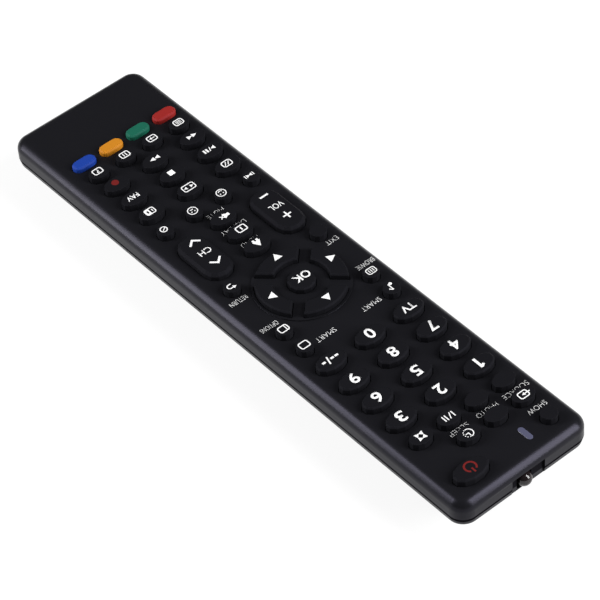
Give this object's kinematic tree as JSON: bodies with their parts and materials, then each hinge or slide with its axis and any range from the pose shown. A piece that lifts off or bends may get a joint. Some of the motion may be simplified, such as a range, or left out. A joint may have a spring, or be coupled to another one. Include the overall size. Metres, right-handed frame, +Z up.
{
  "type": "television remote control",
  "caption": "Long flat hand-held infrared remote control with a raised keypad, an arrow-key ring, two rockers and a sliding battery door.",
  "frame": {"origin": "on the surface the remote rests on, under the middle of its bounding box", "axes": "+Z up out of the keypad face, +Y along the case toward the infrared emitter, +X to the right when the key legends read upright"},
  "size_m": [0.05, 0.2122, 0.0223],
  "materials": {
    "case_black": "satin moulded ABS",
    "key_black": "satin",
    "key_red": "satin",
    "key_green": "satin",
    "key_yellow": "satin",
    "key_blue": "satin",
    "legend_white": "printed ink",
    "legend_red": "printed ink",
    "mat_rubber": "matt silicone rubber",
    "board": "solder mask",
    "emitter_epoxy": "clear epoxy",
    "lens": "smoked clear plastic",
    "cell_sleeve": "printed sleeve",
    "contact_steel": "nickel plated"
  },
  "bodies": {
    "case": {"top_case": "case_black", "bottom_case": "case_black", "keypad_mat": "mat_rubber", "circuit_board": "board", "ir_emitter": "emitter_epoxy", "indicator_lens": "lens", "batteries": "cell_sleeve", "battery_contacts": "contact_steel"},
    "battery_door": {"battery_door": "case_black"},
    "volume_rocker": {"volume_rocker": "key_black"},
    "channel_rocker": {"channel_rocker": "key_black"},
    "key_power": {"key_power": "key_black"},
    "key_ok": {"key_ok": "key_black"},
    "key_up": {"key_up": "key_black"},
    "key_left": {"key_left": "key_black"},
    "key_down": {"key_down": "key_black"},
    "key_right": {"key_right": "key_black"},
    "blank_keys": {"blank_keys": "key_black"},
    "shortcut_keys": {"shortcut_keys": "key_black"},
    "text_keys": {"text_keys": "key_black"},
    "key_show": {"key_show": "key_black"},
    "key_source": {"key_source": "key_black"},
    "key_photo": {"key_photo": "key_black"},
    "key_sleep": {"key_sleep": "key_black"},
    "key_sound": {"key_sound": "key_black"},
    "key_format": {"key_format": "key_black"},
    "key_0": {"key_0": "key_black"},
    "key_1": {"key_1": "key_black"},
    "key_2": {"key_2": "key_black"},
    "key_3": {"key_3": "key_black"},
    "key_4": {"key_4": "key_black"},
    "key_5": {"key_5": "key_black"},
    "key_6": {"key_6": "key_black"},
    "key_7": {"key_7": "key_black"},
    "key_8": {"key_8": "key_black"},
    "key_9": {"key_9": "key_black"},
    "key_tv": {"key_tv": "key_black"},
    "key_dash": {"key_dash": "key_black"},
    "key_music": {"key_music": "key_black"},
    "key_square": {"key_square": "key_black"},
    "key_browse": {"key_browse": "key_black"},
    "key_options": {"key_options": "key_black"},
    "key_exit": {"key_exit": "key_black"},
    "key_return": {"key_return": "key_black"},
    "key_home": {"key_home": "key_black"},
    "key_display": {"key_display": "key_black"},
    "key_mute": {"key_mute": "key_black"},
    "key_picture": {"key_picture": "key_black"},
    "key_wide": {"key_wide": "key_black"},
    "key_index": {"key_index": "key_black"},
    "key_play": {"key_play": "key_black"},
    "key_stop": {"key_stop": "key_black"},
    "key_favourite": {"key_favourite": "key_black"},
    "key_rewind": {"key_rewind": "key_black"},
    "key_forward": {"key_forward": "key_black"},
    "key_record": {"key_record": "key_black"},
    "key_red": {"key_red": "key_red"},
    "key_green": {"key_green": "key_green"},
    "key_yellow": {"key_yellow": "key_yellow"},
    "key_blue": {"key_blue": "key_blue"}
  },
  "joints": [
    {"name": "battery_door_slide", "type": "slide", "parent": "case", "child": "battery_door", "axis": [0, -1, 0], "range_m": [0, 0.06]},
    {"name": "volume_rocker_tilt", "type": "hinge", "parent": "case", "child": "volume_rocker", "pos_m": [-0.0142, -0.0215, 0.018], "axis": [1, 0, 0], "range_deg": [-4, 4], "stiffness_Nm_per_rad": 0.24},
    {"name": "channel_rocker_tilt", "type": "hinge", "parent": "case", "child": "channel_rocker", "pos_m": [0.0142, -0.0215, 0.018], "axis": [1, 0, 0], "range_deg": [-4, 4], "stiffness_Nm_per_rad": 0.24},
    {"name": "key_power_press", "type": "slide", "parent": "case", "child": "key_power", "axis": [0, 0, -1], "range_m": [0, 0.001], "stiffness_N_per_m": 800},
    {"name": "key_ok_press", "type": "slide", "parent": "case", "child": "key_ok", "axis": [0, 0, -1], "range_m": [0, 0.001], "stiffness_N_per_m": 800},
    {"name": "key_up_press", "type": "slide", "parent": "case", "child": "key_up", "axis": [0, 0, -1], "range_m": [0, 0.001], "stiffness_N_per_m": 800},
    {"name": "key_left_press", "type": "slide", "parent": "case", "child": "key_left", "axis": [0, 0, -1], "range_m": [0, 0.001], "stiffness_N_per_m": 800},
    {"name": "key_down_press", "type": "slide", "parent": "case", "child": "key_down", "axis": [0, 0, -1], "range_m": [0, 0.001], "stiffness_N_per_m": 800},
    {"name": "key_right_press", "type": "slide", "parent": "case", "child": "key_right", "axis": [0, 0, -1], "range_m": [0, 0.001], "stiffness_N_per_m": 800},
    {"name": "blank_keys_press", "type": "slide", "parent": "case", "child": "blank_keys", "axis": [0, 0, -1], "range_m": [0, 0.001], "stiffness_N_per_m": 800},
    {"name": "shortcut_keys_press", "type": "slide", "parent": "case", "child": "shortcut_keys", "axis": [0, 0, -1], "range_m": [0, 0.001], "stiffness_N_per_m": 800},
    {"name": "text_keys_press", "type": "slide", "parent": "case", "child": "text_keys", "axis": [0, 0, -1], "range_m": [0, 0.001], "stiffness_N_per_m": 800},
    {"name": "key_show_press", "type": "slide", "parent": "case", "child": "key_show", "axis": [0, 0, -1], "range_m": [0, 0.001], "stiffness_N_per_m": 800},
    {"name": "key_source_press", "type": "slide", "parent": "case", "child": "key_source", "axis": [0, 0, -1], "range_m": [0, 0.001], "stiffness_N_per_m": 800},
    {"name": "key_photo_press", "type": "slide", "parent": "case", "child": "key_photo", "axis": [0, 0, -1], "range_m": [0, 0.001], "stiffness_N_per_m": 800},
    {"name": "key_sleep_press", "type": "slide", "parent": "case", "child": "key_sleep", "axis": [0, 0, -1], "range_m": [0, 0.001], "stiffness_N_per_m": 800},
    {"name": "key_sound_press", "type": "slide", "parent": "case", "child": "key_sound", "axis": [0, 0, -1], "range_m": [0, 0.001], "stiffness_N_per_m": 800},
    {"name": "key_format_press", "type": "slide", "parent": "case", "child": "key_format", "axis": [0, 0, -1], "range_m": [0, 0.001], "stiffness_N_per_m": 800},
    {"name": "key_0_press", "type": "slide", "parent": "case", "child": "key_0", "axis": [0, 0, -1], "range_m": [0, 0.001], "stiffness_N_per_m": 800},
    {"name": "key_1_press", "type": "slide", "parent": "case", "child": "key_1", "axis": [0, 0, -1], "range_m": [0, 0.001], "stiffness_N_per_m": 800},
    {"name": "key_2_press", "type": "slide", "parent": "case", "child": "key_2", "axis": [0, 0, -1], "range_m": [0, 0.001], "stiffness_N_per_m": 800},
    {"name": "key_3_press", "type": "slide", "parent": "case", "child": "key_3", "axis": [0, 0, -1], "range_m": [0, 0.001], "stiffness_N_per_m": 800},
    {"name": "key_4_press", "type": "slide", "parent": "case", "child": "key_4", "axis": [0, 0, -1], "range_m": [0, 0.001], "stiffness_N_per_m": 800},
    {"name": "key_5_press", "type": "slide", "parent": "case", "child": "key_5", "axis": [0, 0, -1], "range_m": [0, 0.001], "stiffness_N_per_m": 800},
    {"name": "key_6_press", "type": "slide", "parent": "case", "child": "key_6", "axis": [0, 0, -1], "range_m": [0, 0.001], "stiffness_N_per_m": 800},
    {"name": "key_7_press", "type": "slide", "parent": "case", "child": "key_7", "axis": [0, 0, -1], "range_m": [0, 0.001], "stiffness_N_per_m": 800},
    {"name": "key_8_press", "type": "slide", "parent": "case", "child": "key_8", "axis": [0, 0, -1], "range_m": [0, 0.001], "stiffness_N_per_m": 800},
    {"name": "key_9_press", "type": "slide", "parent": "case", "child": "key_9", "axis": [0, 0, -1], "range_m": [0, 0.001], "stiffness_N_per_m": 800},
    {"name": "key_tv_press", "type": "slide", "parent": "case", "child": "key_tv", "axis": [0, 0, -1], "range_m": [0, 0.001], "stiffness_N_per_m": 800},
    {"name": "key_dash_press", "type": "slide", "parent": "case", "child": "key_dash", "axis": [0, 0, -1], "range_m": [0, 0.001], "stiffness_N_per_m": 800},
    {"name": "key_music_press", "type": "slide", "parent": "case", "child": "key_music", "axis": [0, 0, -1], "range_m": [0, 0.001], "stiffness_N_per_m": 800},
    {"name": "key_square_press", "type": "slide", "parent": "case", "child": "key_square", "axis": [0, 0, -1], "range_m": [0, 0.001], "stiffness_N_per_m": 800},
    {"name": "key_browse_press", "type": "slide", "parent": "case", "child": "key_browse", "axis": [0, 0, -1], "range_m": [0, 0.001], "stiffness_N_per_m": 800},
    {"name": "key_options_press", "type": "slide", "parent": "case", "child": "key_options", "axis": [0, 0, -1], "range_m": [0, 0.001], "stiffness_N_per_m": 800},
    {"name": "key_exit_press", "type": "slide", "parent": "case", "child": "key_exit", "axis": [0, 0, -1], "range_m": [0, 0.001], "stiffness_N_per_m": 800},
    {"name": "key_return_press", "type": "slide", "parent": "case", "child": "key_return", "axis": [0, 0, -1], "range_m": [0, 0.001], "stiffness_N_per_m": 800},
    {"name": "key_home_press", "type": "slide", "parent": "case", "child": "key_home", "axis": [0, 0, -1], "range_m": [0, 0.001], "stiffness_N_per_m": 800},
    {"name": "key_display_press", "type": "slide", "parent": "case", "child": "key_display", "axis": [0, 0, -1], "range_m": [0, 0.001], "stiffness_N_per_m": 800},
    {"name": "key_mute_press", "type": "slide", "parent": "case", "child": "key_mute", "axis": [0, 0, -1], "range_m": [0, 0.001], "stiffness_N_per_m": 800},
    {"name": "key_picture_press", "type": "slide", "parent": "case", "child": "key_picture", "axis": [0, 0, -1], "range_m": [0, 0.001], "stiffness_N_per_m": 800},
    {"name": "key_wide_press", "type": "slide", "parent": "case", "child": "key_wide", "axis": [0, 0, -1], "range_m": [0, 0.001], "stiffness_N_per_m": 800},
    {"name": "key_index_press", "type": "slide", "parent": "case", "child": "key_index", "axis": [0, 0, -1], "range_m": [0, 0.001], "stiffness_N_per_m": 800},
    {"name": "key_play_press", "type": "slide", "parent": "case", "child": "key_play", "axis": [0, 0, -1], "range_m": [0, 0.001], "stiffness_N_per_m": 800},
    {"name": "key_stop_press", "type": "slide", "parent": "case", "child": "key_stop", "axis": [0, 0, -1], "range_m": [0, 0.001], "stiffness_N_per_m": 800},
    {"name": "key_favourite_press", "type": "slide", "parent": "case", "child": "key_favourite", "axis": [0, 0, -1], "range_m": [0, 0.001], "stiffness_N_per_m": 800},
    {"name": "key_rewind_press", "type": "slide", "parent": "case", "child": "key_rewind", "axis": [0, 0, -1], "range_m": [0, 0.001], "stiffness_N_per_m": 800},
    {"name": "key_forward_press", "type": "slide", "parent": "case", "child": "key_forward", "axis": [0, 0, -1], "range_m": [0, 0.001], "stiffness_N_per_m": 800},
    {"name": "key_record_press", "type": "slide", "parent": "case", "child": "key_record", "axis": [0, 0, -1], "range_m": [0, 0.001], "stiffness_N_per_m": 800},
    {"name": "key_red_press", "type": "slide", "parent": "case", "child": "key_red", "axis": [0, 0, -1], "range_m": [0, 0.001], "stiffness_N_per_m": 800},
    {"name": "key_green_press", "type": "slide", "parent": "case", "child": "key_green", "axis": [0, 0, -1], "range_m": [0, 0.001], "stiffness_N_per_m": 800},
    {"name": "key_yellow_press", "type": "slide", "parent": "case", "child": "key_yellow", "axis": [0, 0, -1], "range_m": [0, 0.001], "stiffness_N_per_m": 800},
    {"name": "key_blue_press", "type": "slide", "parent": "case", "child": "key_blue", "axis": [0, 0, -1], "range_m": [0, 0.001], "stiffness_N_per_m": 800}
  ]
}
